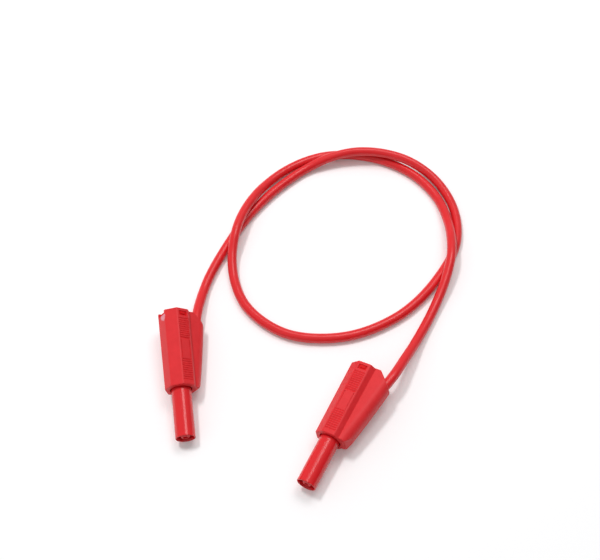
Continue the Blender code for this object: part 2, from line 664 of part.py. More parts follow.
def build():
    clear_scene()
    housing_red = material("housing_red", (0.72, 0.05, 0.06), 0.55)
    sleeve_red = material("sleeve_red", (0.70, 0.03, 0.035), 0.25)
    cable_red = material("cable_red", (0.68, 0.03, 0.035), 0.35)
    nickel = material("nickel", (0.80, 0.78, 0.74), 0.25, 1.0)
    spring_steel = material("spring_steel", (0.62, 0.62, 0.62), 0.30, 1.0)
    cage_bronze = material("cage_bronze", (0.85, 0.72, 0.45), 0.25, 1.0)
    copper = material("copper", (0.86, 0.45, 0.28), 0.35, 1.0)
    empties = {}
    for prefix, lie in PLUGS.items():
        empty = make_empty(prefix, lie)
        empties[prefix] = empty
        make_housing(prefix, empty, housing_red)
        make_insert(prefix, empty, housing_red)
        make_sleeve(prefix, empty, sleeve_red)
        make_spring(prefix, empty, spring_steel)
        make_contact(prefix, empty, nickel)
        make_cage(prefix, empty, cage_bronze)
        make_lug(prefix, empty, nickel)
        make_conductor(prefix, empty, copper)
    bpy.context.view_layer.update()
    make_cable(empties, cable_red)


build()
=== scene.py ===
"""Looks of the test lead: two stackable 4 mm plugs in red plastic and the silicone cable between them.

Each plug is modelled in its own axes and then laid where the frame has it:
+X from the plug axis towards the cable hump, +Y from the front face to the rear,
+Z out of the upper ribbed face. All lengths are metres.
"""
import json
import math

import bmesh
import bpy
import numpy as np
from mathutils import Matrix, Vector


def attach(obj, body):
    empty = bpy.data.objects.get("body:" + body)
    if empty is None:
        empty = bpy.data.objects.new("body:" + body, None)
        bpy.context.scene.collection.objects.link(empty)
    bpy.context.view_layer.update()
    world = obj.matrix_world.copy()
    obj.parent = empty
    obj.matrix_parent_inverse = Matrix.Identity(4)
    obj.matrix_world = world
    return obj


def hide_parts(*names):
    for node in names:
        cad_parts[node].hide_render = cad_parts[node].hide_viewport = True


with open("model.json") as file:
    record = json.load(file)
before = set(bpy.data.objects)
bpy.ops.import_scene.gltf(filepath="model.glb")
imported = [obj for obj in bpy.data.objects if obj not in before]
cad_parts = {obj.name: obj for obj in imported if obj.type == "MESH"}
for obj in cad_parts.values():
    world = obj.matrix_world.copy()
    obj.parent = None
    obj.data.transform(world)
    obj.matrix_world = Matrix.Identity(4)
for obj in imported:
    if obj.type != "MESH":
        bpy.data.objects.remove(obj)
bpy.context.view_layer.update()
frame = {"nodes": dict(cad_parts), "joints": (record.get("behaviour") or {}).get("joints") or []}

MM = 0.001

# Housing
BODY_SIDES = 8
BODY_LENGTH = 35.2 * MM
FLATS_FRONT = 12.6 * MM
FLATS_REAR = 13.3 * MM
BODY_FILLET = 0.45 * MM
CHAMBER_DIAMETER = 10.4 * MM
LIP_THICKNESS = 1.6 * MM
LIP_GAP = 0.4 * MM

# Hump that carries the cable
HUMP_HALF_WIDTH = 4.6 * MM
HUMP_NOSE_RADIUS = 3.9 * MM
HUMP_FRONT_REACH = 8.1 * MM
HUMP_REAR_REACH = 13.0 * MM
HUMP_BOW = 0.25 * MM
HUMP_END_LENGTH = 5.9 * MM
HUMP_END_ROOT = 7.1 * MM
HUMP_CHAMFER_ROOT = 6.9 * MM
HUMP_CHAMFER_LENGTH = 3.0 * MM
HUMP_FRONT = 0.35 * MM
HUMP_CORNER = BODY_LENGTH - HUMP_END_LENGTH
HUMP_STATIONS = 8
HUMP_FILLET = 0.3 * MM

# Ribbed faces
RIB_FIELD_START = 2.3 * MM
RIB_PITCH = 1.0 * MM
RIB_COUNT = 10
RIB_SPAN = 4.7 * MM
RIB_GROOVE_WIDTH = 0.7 * MM
RIB_GROOVE_FLATTEN = 0.7
RIB_REAR_MARGIN = 5.0 * MM
FIELD_LENGTH = RIB_PITCH * (RIB_COUNT - 1)
RIB_REAR_START = BODY_LENGTH - RIB_REAR_MARGIN - FIELD_LENGTH
PAD_WIDTH = 4.0 * MM
PAD_LINE_WIDTH = 0.35 * MM
PAD_LINE_DEPTH = 0.25 * MM
BORDER_GROOVE_SHARE = 1.5

# Latch windows and key notch
WINDOW_WIDTH = 3.7 * MM
WINDOW_LENGTH = 2.2 * MM
WINDOW_FROM_REAR = 1.4 * MM
NOTCH_WIDTH = 4.4 * MM
NOTCH_DEPTH = 2.1 * MM
WALL_CUT_END = CHAMBER_DIAMETER / 4

# Sleeve
SLEEVE_DIAMETER = 8.3 * MM
SLEEVE_BORE = 6.2 * MM
SLEEVE_REACH = 21.2 * MM
SLEEVE_EDGE = 0.25 * MM
SLEEVE_LAND = 0.15 * MM
SLEEVE_TAPER_LENGTH = 1.6 * MM
FLANGE_DIAMETER = 9.8 * MM
FLANGE_FRONT = 1.9 * MM
FLANGE_REAR = 4.1 * MM

# Contact and its cage
PIN_REACH = 20.8 * MM
PIN_TIP_FLAT_SHARE = 0.72
PIN_TIP_LENGTH_SHARE = 0.4
PIN_RECESS_DIAMETER = 2.2 * MM
PIN_RECESS_DEPTH = 0.8 * MM
PIN_CAP_LENGTH = 1.0 * MM
PIN_HEAD_DIAMETER = 3.9 * MM
PIN_HEAD_LENGTH = 1.9 * MM
PIN_NECK_DIAMETER = 2.5 * MM
PIN_COLLAR_LENGTH = 2.4 * MM
TUBE_DIAMETER = 5.2 * MM
STACK_BORE = 4.1 * MM
STACK_DEPTH = 18.5 * MM
SEAT_DIAMETER = 9.2 * MM
SEAT_FRONT = 26.7 * MM
SEAT_REAR = 27.6 * MM
CONTACT_REAR = 32.8 * MM
CAGE_LEAVES = 8
CAGE_DIAMETER = 4.3 * MM
CAGE_WALL = 0.22 * MM
CAGE_RING_LENGTH = 1.2 * MM
CAGE_SLOT = 0.4 * MM

# Spring
WIRE_DIAMETER = 0.5 * MM
SPRING_DIAMETER = 8.4 * MM
SPRING_TURNS = 7.5
SPRING_END_PITCH = 0.55 * MM
SPRING_STEPS = 48

# Rear socket insert
INSERT_FRONT = 28.9 * MM
INSERT_REAR = 34.7 * MM
PLATE_FRONT = 33.1 * MM
MOUTH_DIAMETER = 4.5 * MM
MOUTH_FLARE = 1.0 * MM
LATCH_SET_BACK = 0.1 * MM
LATCH_GAP = 0.75 * MM
LEDGE_DEPTH = 0.3 * MM
LEDGE_GAP = 0.1 * MM
LEDGE_SEAM = 0.02 * MM
TAB_SET_BACK = 0.5 * MM
LUG_FILLET = 0.12 * MM

# Crimp lug's room in the housing
LUG_FRONT = 27.9 * MM
LUG_REAR = 28.6 * MM
LUG_TAB_WIDTH = 2.4 * MM
CRIMP_DIAMETER = 3.2 * MM
CRIMP_LENGTH = 4.6 * MM
JACKET_END = 28.9 * MM

# Cable, with the route's points as the part has them, in metres
CABLE_DIAMETER = 4.3 * MM
CABLE_ANGLE = 12.0
CABLE_EXIT_SHARE = 0.56
CABLE_LEAD_OUT = 3.5 * MM
CABLE_POINTS = 700
CURVE_SAMPLES = 24
ROUTE = [
    (-0.0311, 0.0567, 0.0022), (-0.0219, 0.0810, 0.0022), (-0.0090, 0.1036, 0.0022),
    (0.0054, 0.1199, 0.0022), (0.0154, 0.1280, 0.0026), (0.0260, 0.1326, 0.0050),
    (0.0386, 0.1351, 0.0067), (0.0525, 0.1344, 0.0066), (0.0648, 0.1300, 0.0060),
    (0.0749, 0.1233, 0.0036), (0.0835, 0.1089, 0.0022), (0.0850, 0.0853, 0.0022),
    (0.0736, 0.0620, 0.0022), (0.0540, 0.0419, 0.0022), (0.0301, 0.0321, 0.0022),
    (0.0046, 0.0345, 0.0022), (-0.0122, 0.0487, 0.0022), (-0.0181, 0.0646, 0.0022),
    (-0.0190, 0.0752, 0.0042), (-0.0177, 0.0855, 0.0070), (-0.0146, 0.0972, 0.0067),
    (-0.0096, 0.1080, 0.0057), (-0.0037, 0.1180, 0.0031), (0.0051, 0.1270, 0.0022),
    (0.0227, 0.1359, 0.0022), (0.0456, 0.1357, 0.0022), (0.0661, 0.1253, 0.0022),
    (0.0780, 0.1090, 0.0022), (0.0813, 0.0948, 0.0038), (0.0816, 0.0831, 0.0065),
    (0.0807, 0.0725, 0.0072), (0.0775, 0.0610, 0.0051), (0.0725, 0.0491, 0.0029),
    (0.0622, 0.0289, 0.0038), (0.0563, 0.0181, 0.0072),
]

# Camera, fitted to the photograph
LOOK_AT = (12.03 * MM, 63.74 * MM, 0.0)
CAMERA_DISTANCE = 454.84 * MM
CAMERA_ELEVATION = 55.646
CAMERA_LENS = 60.0
CAMERA_SENSOR = 36.0
CAMERA_CLIP_START = 10 * MM

# Light: the top panel and the strip shine in the plastic, and the key doesn't mirror in it
KEY = {"azimuth": 146.0, "elevation": 68.5, "sizes": (0.14, 0.22), "power": 5.3}
TOP = {"azimuth": 56.0, "elevation": 67.0, "sizes": (0.46, 0.46), "power": 3.0}
STRIP = {"azimuth": 99.0, "elevation": 62.0, "sizes": (0.17, 0.26), "power": 0.65}
PANEL_DISTANCE = 1.2
SKY_WAY = (-0.694, 0.583, 0.423)
SKY_DIM_SIDE = 0.08
SKY_BRIGHT_SIDE = 0.58
SKY_DIM_FACING = -0.7
SKY_BRIGHT_FACING = 0.2
WHITE = (1.0, 1.0, 1.0, 1.0)

# Floor
FLOOR_SIZE = 3.0
FLOOR_SHADES = ((0.91, 0.91, 0.915), (0.93, 0.93, 0.935))
FLOOR_CLOUD = (3.0, 2.0, 0.5)
FLOOR_ROUGHNESS = 0.9
FLOOR_LIFT = (0.09, 0.09, 0.09)
BLACK = (0.0, 0.0, 0.0)

# Painted highlight: a pale patch on the left plug's back face, just in front of its key notch
HIGHLIGHT_PATCH_PLACE = (-6.4 * MM, 32.1 * MM, 1.1 * MM)
HIGHLIGHT_PATCH_CORE = 1.4 * MM
HIGHLIGHT_PATCH_RIM = 1.9 * MM
HIGHLIGHT_PATCH_WANDER = 1.6 * MM
HIGHLIGHT_PATCH_DRIFT_SCALE = 700.0
PAINTED_HIGHLIGHT_COLOUR = (0.80, 0.28, 0.34)

# Finishes: noise is scale, detail, roughness; roughness is level, spread; bump is distance, strength
CLOUD_STOPS = ((0.3, 0.0), (0.7, 1.0))
HOUSING_PLASTIC = {
    "shades": ((0.70, 0.013, 0.018), (0.76, 0.018, 0.024)), "roughness": (0.46, 0.1),
    "cloud": (260.0, 4.0, 0.6), "grain": (4500.0, 2.0, 0.5), "bump": (0.00002, 0.3),
}
INSERT_PLASTIC = {
    "shades": ((0.66, 0.004, 0.007), (0.72, 0.006, 0.010)), "roughness": (0.5, 0.1), "specular": 0.2,
    "cloud": (300.0, 3.0, 0.5), "bump": (0.00002, 0.2),
}
SLEEVE_PLASTIC = {
    "shades": ((0.70, 0.008, 0.012), (0.76, 0.012, 0.018)), "roughness": (0.2, 0.1),
    "cloud": (180.0, 3.0, 0.5), "rubs": (1500.0, 5.0, 0.7), "rub_stops": ((0.5, 0.0), (0.8, 1.0)),
    "bump": (0.00002, 0.1),
}
CABLE_SILICONE = {
    "shades": ((0.72, 0.011, 0.015), (0.76, 0.015, 0.020)), "roughness": (0.26, 0.06),
    "wave": (150.0, 2.0, 0.5), "dull": (900.0, 4.0, 0.6), "bump": (0.00002, 0.1),
}
PIN_CAP_COLOUR = (0.70, 0.012, 0.018)

# Metals: a light and a dark shade, and the roughness where they aren't tarnished
NICKEL = ((0.62, 0.58, 0.52), (0.42, 0.39, 0.35), 0.34)
BRONZE = ((0.86, 0.74, 0.50), (0.66, 0.50, 0.30), 0.22)
STEEL = ((0.66, 0.66, 0.66), (0.45, 0.44, 0.43), 0.28)
COPPER = ((0.88, 0.48, 0.30), (0.60, 0.28, 0.16), 0.32)
TURNING_SCALE = 9000.0
TURNING_DETAIL = 2.0
TURNING_BUMP = (0.00001, 0.3)
TARNISH = (900.0, 4.0, 0.6)
TARNISH_STOPS = ((0.35, 0.0), (0.8, 1.0))
TARNISH_SPREAD = 0.12

# Gaps, and how finely round forms are made
SEAT_GAP = 0.3 * MM
CUT_MARGIN = 1.0 * MM
MERGE_DISTANCE = 1e-6
PLANE_TOLERANCE = 1e-7
POINT_DIGITS = 7
ROUND_STEPS = 96
SMALL_STEPS = 48
ARC_STEPS = 5
BODY_FILLET_STEPS = 4
HUMP_FILLET_STEPS = 3
HUMP_NOSE_STEPS = 12
BLOCK_FILLET_STEPS = 2
PIN_NOSE_STEPS = 10
CAGE_BOW_STEPS = 16
MOUTH_FLARE_STEPS = 6
WIRE_RESOLUTION = 3
CABLE_RESOLUTION = 10
SHARP_ANGLE = math.radians(35)


# Shader graphs

SOCKETS = {
    "base_color": "Base Color", "roughness": "Roughness", "metallic": "Metallic", "normal": "Normal",
    "specular": "Specular IOR Level",
}
SEEN_RAYS = ("Is Camera Ray", "Is Glossy Ray", "Is Transmission Ray")
MIX_FIRST = 6
MIX_SECOND = 7
MIX_RESULT = 2


class Shade:
    """A socket of a shader graph that takes Python's arithmetic; each step adds its Math node."""

    def __init__(self, finish, socket):
        self.finish = finish
        self.socket = socket

    def maths(self, operation, left, right):
        return self.finish.add("ShaderNodeMath", {"operation": operation}, {0: left, 1: right})

    def __add__(self, other):
        return self.maths("ADD", self, other)

    def __radd__(self, other):
        return self.maths("ADD", other, self)

    def __mul__(self, other):
        return self.maths("MULTIPLY", self, other)

    def __rmul__(self, other):
        return self.maths("MULTIPLY", other, self)


class Finish:
    """One procedural material."""

    def __init__(self, name):
        self.material = bpy.data.materials.new(name)
        self.material.use_nodes = True
        self.tree = self.material.node_tree
        self.shader = self.tree.nodes["Principled BSDF"]

    def add(self, kind, settings=None, inputs=None, output=0):
        """Adds a node: its settings first, then the values or links of its sockets."""
        node = self.tree.nodes.new(kind)
        for name, value in (settings or {}).items():
            if name == "stops":
                self.set_stops(node.color_ramp, value)
            else:
                setattr(node, name, value)
        for place, value in (inputs or {}).items():
            self.feed(node.inputs[place], value)
        return Shade(self, node.outputs[output])

    def set_stops(self, ramp, stops):
        while len(ramp.elements) < len(stops):
            ramp.elements.new(1.0)
        for element, (place, level) in zip(ramp.elements, stops):
            element.position = place
            element.color = (level, level, level, 1.0)

    def feed(self, socket, value):
        if isinstance(value, Shade):
            self.tree.links.new(value.socket, socket)
        else:
            socket.default_value = value

    def place(self):
        return self.add("ShaderNodeTexCoord", output="Object")

    def noise(self, scale, detail, roughness):
        inputs = {"Vector": self.place(), "Scale": scale, "Detail": detail, "Roughness": roughness}
        return self.add("ShaderNodeTexNoise", None, inputs)

    def ramp(self, factor, *stops):
        return self.add("ShaderNodeValToRGB", {"stops": stops}, {"Fac": factor})

    def blend(self, factor, first, second):
        first, second = (c if isinstance(c, Shade) else (*c, 1.0) for c in (first, second))
        inputs = {"Factor": factor, MIX_FIRST: first, MIX_SECOND: second}
        return self.add("ShaderNodeMix", {"data_type": "RGBA"}, inputs, output=MIX_RESULT)

    def spot(self, centre, core, rim, wander):
        """One inside a small uneven ball round a point, falling to nothing at its rim."""
        inputs = {"Vector": self.place(), "Scale": HIGHLIGHT_PATCH_DRIFT_SCALE}
        drift = self.add("ShaderNodeTexNoise", None, inputs, output="Color")
        inputs = {0: drift, 1: (wander, wander, wander), 2: self.place()}
        moved = self.add("ShaderNodeVectorMath", {"operation": "MULTIPLY_ADD"}, inputs)
        inputs = {0: moved, 1: tuple(value + wander / 2 for value in centre)}
        away = self.add("ShaderNodeVectorMath", {"operation": "DISTANCE"}, inputs, output="Value")
        limits = {"From Min": rim, "From Max": core, "To Min": 0.0, "To Max": 1.0}
        return self.add("ShaderNodeMapRange", None, {"Value": away, **limits})

    def seen_ray(self):
        """One for what the camera sees, directly, in a reflection or through a clear thing."""
        kinds = [self.add("ShaderNodeLightPath", output=kind) for kind in SEEN_RAYS]
        return kinds[0].maths("MAXIMUM", kinds[0].maths("MAXIMUM", kinds[0], kinds[1]), kinds[2])

    def bump(self, height, distance, strength):
        inputs = {"Height": height, "Distance": distance, "Strength": strength}
        return self.add("ShaderNodeBump", None, inputs)

    def set(self, **values):
        for name, value in values.items():
            self.feed(self.shader.inputs[SOCKETS[name]], value)
        return self.material


def housing_finish(name, highlight_place):
    """Matt moulded plastic with a fine eroded grain, and a painted highlight, a pale patch, where a place
    for one is given.
    """
    finish = Finish(name)
    look = HOUSING_PLASTIC
    cloud = finish.noise(*look["cloud"])
    grain = finish.noise(*look["grain"])
    colour = finish.blend(finish.ramp(cloud, *CLOUD_STOPS), *look["shades"])
    if highlight_place:
        # Painted highlight: a pale patch standing in for light mirrored off the back face
        rubs_and_highlight_mask = finish.spot(highlight_place, HIGHLIGHT_PATCH_CORE, HIGHLIGHT_PATCH_RIM, HIGHLIGHT_PATCH_WANDER)
        colour = finish.blend(rubs_and_highlight_mask, colour, PAINTED_HIGHLIGHT_COLOUR)
    level, spread = look["roughness"]
    normal = finish.bump(grain, *look["bump"])
    return finish.set(base_color=colour, roughness=level + cloud * spread, normal=normal)


def insert_finish():
    """Deeper, duller red of the insert behind the windows."""
    finish = Finish("insert_plastic")
    look = INSERT_PLASTIC
    cloud = finish.noise(*look["cloud"])
    colour = finish.blend(cloud, *look["shades"])
    level, spread = look["roughness"]
    normal = finish.bump(cloud, *look["bump"])
    rough = level + cloud * spread
    return finish.set(base_color=colour, roughness=rough, specular=look["specular"], normal=normal)


def sleeve_finish():
    """Glossier moulded plastic with faint rub marks."""
    finish = Finish("sleeve_plastic")
    look = SLEEVE_PLASTIC
    cloud = finish.noise(*look["cloud"])
    rubs_and_highlight_mask = finish.ramp(finish.noise(*look["rubs"]), *look["rub_stops"])
    colour = finish.blend(cloud, *look["shades"])
    level, spread = look["roughness"]
    normal = finish.bump(cloud, *look["bump"])
    return finish.set(base_color=colour, roughness=level + rubs_and_highlight_mask * spread, normal=normal)


def cable_finish():
    """Silicone jacket: smooth, softly shining, with a slight waviness and dull patches."""
    finish = Finish("cable_silicone")
    look = CABLE_SILICONE
    wave = finish.noise(*look["wave"])
    dull = finish.noise(*look["dull"])
    colour = finish.blend(finish.ramp(wave, *CLOUD_STOPS), *look["shades"])
    level, spread = look["roughness"]
    normal = finish.bump(wave, *look["bump"])
    return finish.set(base_color=colour, roughness=level + dull * spread, normal=normal)


def metal_finish(name, light, dark, roughness, capped=False):
    """Turned or drawn metal with fine marks across the axis and slight tarnish.

    Capped, the pin's end is red plastic. Pieces without the attribute along stay bare.
    """
    finish = Finish(name)
    along = finish.add("ShaderNodeAttribute", {"attribute_name": "along"}, output="Fac")
    inputs = {"W": along, "Scale": TURNING_SCALE, "Detail": TURNING_DETAIL}
    lines = finish.add("ShaderNodeTexNoise", {"noise_dimensions": "1D"}, inputs)
    tarnish = finish.noise(*TARNISH)
    colour = finish.blend(finish.ramp(tarnish, *TARNISH_STOPS), light, dark)
    normal = finish.bump(lines, *TURNING_BUMP)
    metal = 1.0
    if capped:
        metal = along.maths("GREATER_THAN", along, PIN_CAP_LENGTH - PIN_REACH)
        colour = finish.blend(metal, PIN_CAP_COLOUR, colour)
    rough = roughness + tarnish * TARNISH_SPREAD
    return finish.set(base_color=colour, roughness=rough, metallic=metal, normal=normal)


# Shapes in a plug's own axes

def half_flats(y):
    return (FLATS_FRONT + (FLATS_REAR - FLATS_FRONT) * y / BODY_LENGTH) / 2


def hump_reach(y):
    """How far the hump's nose stands from the plug axis at a station along it."""
    share = y / HUMP_CORNER
    straight = HUMP_FRONT_REACH + (HUMP_REAR_REACH - HUMP_FRONT_REACH) * share
    return straight + 4 * HUMP_BOW * share * (1 - share)


def arc(y, radius, size, start, end):
    """Points (y, radius) of an arc round a centre, angles in degrees from +Y towards +radius."""
    angles = [math.radians(start + (end - start) * i / ARC_STEPS) for i in range(ARC_STEPS + 1)]
    return [(y + size * math.cos(a), radius + size * math.sin(a)) for a in angles]


def turned(profile, steps=ROUND_STEPS):
    """Solid of revolution about Y from a closed profile of (y, radius) points."""
    bm = bmesh.new()
    verts = [bm.verts.new((radius, y, 0.0)) for y, radius in profile]
    edges = [bm.edges.new((verts[i - 1], verts[i])) for i in range(len(verts))]
    bmesh.ops.spin(bm, geom=verts + edges, cent=(0, 0, 0), axis=(0, 1, 0),
                   angle=2 * math.pi, steps=steps, use_merge=True)
    bmesh.ops.remove_doubles(bm, verts=bm.verts[:], dist=MERGE_DISTANCE)
    loose = [edge for edge in bm.edges if not edge.link_faces]
    bmesh.ops.delete(bm, geom=loose, context="EDGES")
    return bm


def block(bm, low, high, fillet=0.0):
    """Box between two corners, with rounded edges where a fillet is given."""
    size = Vector(high) - Vector(low)
    middle = (Vector(high) + Vector(low)) / 2
    place = Matrix.Translation(middle) @ Matrix.Diagonal((*size, 1.0))
    made = bmesh.ops.create_cube(bm, size=1.0, matrix=place)
    if fillet:
        edges = list({edge for vert in made["verts"] for edge in vert.link_edges})
        round_edges(bm, edges, fillet, BLOCK_FILLET_STEPS)


def round_edges(bm, edges, offset, segments):
    bmesh.ops.bevel(bm, geom=edges, offset=offset, offset_type="OFFSET", segments=segments,
                    profile=0.5, affect="EDGES", material=-1, clamp_overlap=True)


def rod(bm, start, end, diameter):
    """Straight round bar between two points."""
    start = Vector(start)
    run = Vector(end) - start
    place = Matrix.Translation(start + run / 2) @ run.to_track_quat("Z", "Y").to_matrix().to_4x4()
    bmesh.ops.create_cone(bm, cap_ends=True, segments=SMALL_STEPS, radius1=diameter / 2,
                          radius2=diameter / 2, depth=run.length, matrix=place)


def cable_line(y):
    """Point of the cable's axis inside the plug."""
    exit_x = HUMP_END_ROOT + (hump_reach(HUMP_CORNER) - HUMP_END_ROOT) * CABLE_EXIT_SHARE
    return Vector((exit_x + (y - cable_exit_y()) * math.tan(math.radians(CABLE_ANGLE)), y, 0.0))


def cable_exit_y():
    return BODY_LENGTH - HUMP_END_LENGTH * CABLE_EXIT_SHARE


def grip_body():
    """Eight-sided body, a little wider to the rear, with all its edges rounded."""
    bm = bmesh.new()
    outline = Matrix.Rotation(math.radians(-90), 4, "X") @ Matrix.Rotation(math.pi / BODY_SIDES, 4, "Z")
    bmesh.ops.create_circle(bm, cap_ends=True, segments=BODY_SIDES, matrix=outline,
                            radius=FLATS_FRONT / 2 / math.cos(math.pi / BODY_SIDES))
    grown = bmesh.ops.extrude_face_region(bm, geom=bm.faces[:])
    rear = [item for item in grown["geom"] if isinstance(item, bmesh.types.BMVert)]
    ratio = FLATS_REAR / FLATS_FRONT
    bmesh.ops.scale(bm, vec=(ratio, 1.0, ratio), verts=rear)
    bmesh.ops.translate(bm, vec=(0.0, BODY_LENGTH, 0.0), verts=rear)
    bmesh.ops.recalc_face_normals(bm, faces=bm.faces[:])
    round_edges(bm, bm.edges[:], BODY_FILLET, BODY_FILLET_STEPS)
    return bm


def slice_off(bm, point, normal):
    """Cuts away what lies beyond a plane, closes the cut and rounds its outer edge."""
    geom = bm.verts[:] + bm.edges[:] + bm.faces[:]
    cut = bmesh.ops.bisect_plane(bm, geom=geom, plane_co=point, plane_no=normal,
                                 clear_outer=True, dist=PLANE_TOLERANCE)
    rim = [item for item in cut["geom_cut"] if isinstance(item, bmesh.types.BMEdge)]
    bmesh.ops.edgeloop_fill(bm, edges=rim)
    bmesh.ops.recalc_face_normals(bm, faces=bm.faces[:])
    outer = [edge for edge in rim if edge.is_valid
             and min(v.co.x for v in edge.verts) > HUMP_CHAMFER_ROOT / 2]
    round_edges(bm, outer, HUMP_FILLET, HUMP_FILLET_STEPS)


def cable_hump():
    """Hump with flat sides, a round nose, an inclined rear end and a chamfered front corner."""
    bm = bmesh.new()
    length = BODY_LENGTH - HUMP_FRONT
    block(bm, (0.0, HUMP_FRONT, -HUMP_HALF_WIDTH), (HUMP_REAR_REACH, BODY_LENGTH, HUMP_HALF_WIDTH))
    for i in range(1, HUMP_STATIONS):
        geom = bm.verts[:] + bm.edges[:] + bm.faces[:]
        station = (0.0, HUMP_FRONT + length * i / HUMP_STATIONS, 0.0)
        bmesh.ops.bisect_plane(bm, geom=geom, plane_co=station, plane_no=(0, 1, 0), dist=PLANE_TOLERANCE)
    outer = [vert for vert in bm.verts if vert.co.x > HUMP_REAR_REACH / 2]
    for vert in outer:
        vert.co.x = hump_reach(vert.co.y)
    nose = [edge for edge in bm.edges if all(v in outer for v in edge.verts)
            and abs(edge.verts[0].co.z - edge.verts[1].co.z) < MERGE_DISTANCE]
    round_edges(bm, nose, HUMP_NOSE_RADIUS, HUMP_NOSE_STEPS)
    rear_run = Vector((hump_reach(HUMP_CORNER) - HUMP_END_ROOT, -HUMP_END_LENGTH, 0.0))
    slice_off(bm, (HUMP_END_ROOT, BODY_LENGTH, 0.0), (-rear_run.y, rear_run.x, 0.0))
    front_run = Vector((hump_reach(HUMP_CHAMFER_LENGTH) - HUMP_CHAMFER_ROOT, HUMP_CHAMFER_LENGTH, 0.0))
    slice_off(bm, (HUMP_CHAMFER_ROOT, HUMP_FRONT, 0.0), (front_run.y, -front_run.x, 0.0))
    return bm


def housing_bores():
    lip = SLEEVE_DIAMETER / 2 + LIP_GAP
    chamber = CHAMBER_DIAMETER / 2
    edge = LIP_GAP / 2
    profile = [(-CUT_MARGIN, 0.0), (-CUT_MARGIN, lip + edge + CUT_MARGIN), (edge, lip), (LIP_THICKNESS, lip)]
    profile += [(LIP_THICKNESS, chamber), (BODY_LENGTH - edge, chamber)]
    profile += [(BODY_LENGTH + CUT_MARGIN, chamber + edge + CUT_MARGIN), (BODY_LENGTH + CUT_MARGIN, 0.0)]
    return turned(profile)


def rib_grooves():
    """V grooves of both fields on both ribbed faces; the first of the rear field is larger."""
    bm = bmesh.new()
    for start in (RIB_FIELD_START, RIB_REAR_START):
        for i in range(RIB_COUNT):
            y = start + RIB_PITCH * i
            share = BORDER_GROOVE_SHARE if y == RIB_REAR_START else 1.0
            side_length = RIB_GROOVE_WIDTH * share / math.sqrt(2)
            for side in (-1, 1):
                place = Matrix.Translation((0.0, y, side * half_flats(y)))
                place = place @ Matrix.Diagonal((1, 1, RIB_GROOVE_FLATTEN, 1))
                place = place @ Matrix.Rotation(math.pi / 4, 4, "X")
                size = Matrix.Diagonal((RIB_SPAN, side_length, side_length, 1.0))
                bmesh.ops.create_cube(bm, size=1.0, matrix=place @ size)
    return bm


def pad_lines():
    """Fine lines along both sides of the pad between the rib fields."""
    bm = bmesh.new()
    start = RIB_FIELD_START + FIELD_LENGTH + RIB_GROOVE_WIDTH
    end = RIB_REAR_START - RIB_GROOVE_WIDTH * BORDER_GROOVE_SHARE
    top = half_flats((start + end) / 2)
    for side_x in (-1, 1):
        for side_z in (-1, 1):
            x = side_x * PAD_WIDTH / 2
            low_z, high_z = sorted((side_z * (top - PAD_LINE_DEPTH), side_z * (top + CUT_MARGIN)))
            block(bm, (x - PAD_LINE_WIDTH / 2, start, low_z), (x + PAD_LINE_WIDTH / 2, end, high_z))
    return bm


def wall_openings():
    """Latch windows in both ribbed faces and the key notch in the back face."""
    bm = bmesh.new()
    rear = BODY_LENGTH - WINDOW_FROM_REAR
    for side in (-1, 1):
        low_z, high_z = sorted((side * WALL_CUT_END, side * (FLATS_REAR / 2 + CUT_MARGIN)))
        block(bm, (-WINDOW_WIDTH / 2, rear - WINDOW_LENGTH, low_z), (WINDOW_WIDTH / 2, rear, high_z))
    block(bm, (-FLATS_REAR / 2 - CUT_MARGIN, BODY_LENGTH - NOTCH_DEPTH, -NOTCH_WIDTH / 2),
          (-WALL_CUT_END, BODY_LENGTH + CUT_MARGIN, NOTCH_WIDTH / 2))
    return bm


def cable_channel():
    bm = bmesh.new()
    rod(bm, cable_line(JACKET_END - SEAT_GAP), cable_line(BODY_LENGTH + 2 * CUT_MARGIN),
        CABLE_DIAMETER + 2 * SEAT_GAP)
    return bm


def crimp_pocket():
    bm = bmesh.new()
    rod(bm, cable_line(LUG_REAR - CRIMP_LENGTH - 2 * SEAT_GAP), cable_line(JACKET_END + SEAT_GAP),
        CRIMP_DIAMETER + 2 * SEAT_GAP)
    return bm


def lug_slot():
    bm = bmesh.new()
    half = LUG_TAB_WIDTH / 2 + SEAT_GAP
    block(bm, (WALL_CUT_END, LUG_FRONT - SEAT_GAP, -half),
          (cable_line(LUG_FRONT).x, LUG_REAR + SEAT_GAP, half))
    return bm


def housing_shape():
    cuts = [housing_bores(), lug_slot(), crimp_pocket(), cable_channel()]
    cuts += [wall_openings(), pad_lines(), rib_grooves()]
    return carve(grip_body(), [("UNION", cable_hump())] + [("DIFFERENCE", cut) for cut in cuts])


def sleeve_shape():
    outer = SLEEVE_DIAMETER / 2
    inner = SLEEVE_BORE / 2
    flange = FLANGE_DIAMETER / 2
    front = -SLEEVE_REACH
    edge = SLEEVE_EDGE
    profile = [(front, outer - edge - SLEEVE_LAND)]
    profile += arc(front + edge, outer - edge, edge, 180, 90)
    profile += [(FLANGE_FRONT, outer), (FLANGE_FRONT, flange), (FLANGE_REAR, flange), (FLANGE_REAR, inner),
                (front + SLEEVE_TAPER_LENGTH, inner)]
    return turned(profile)


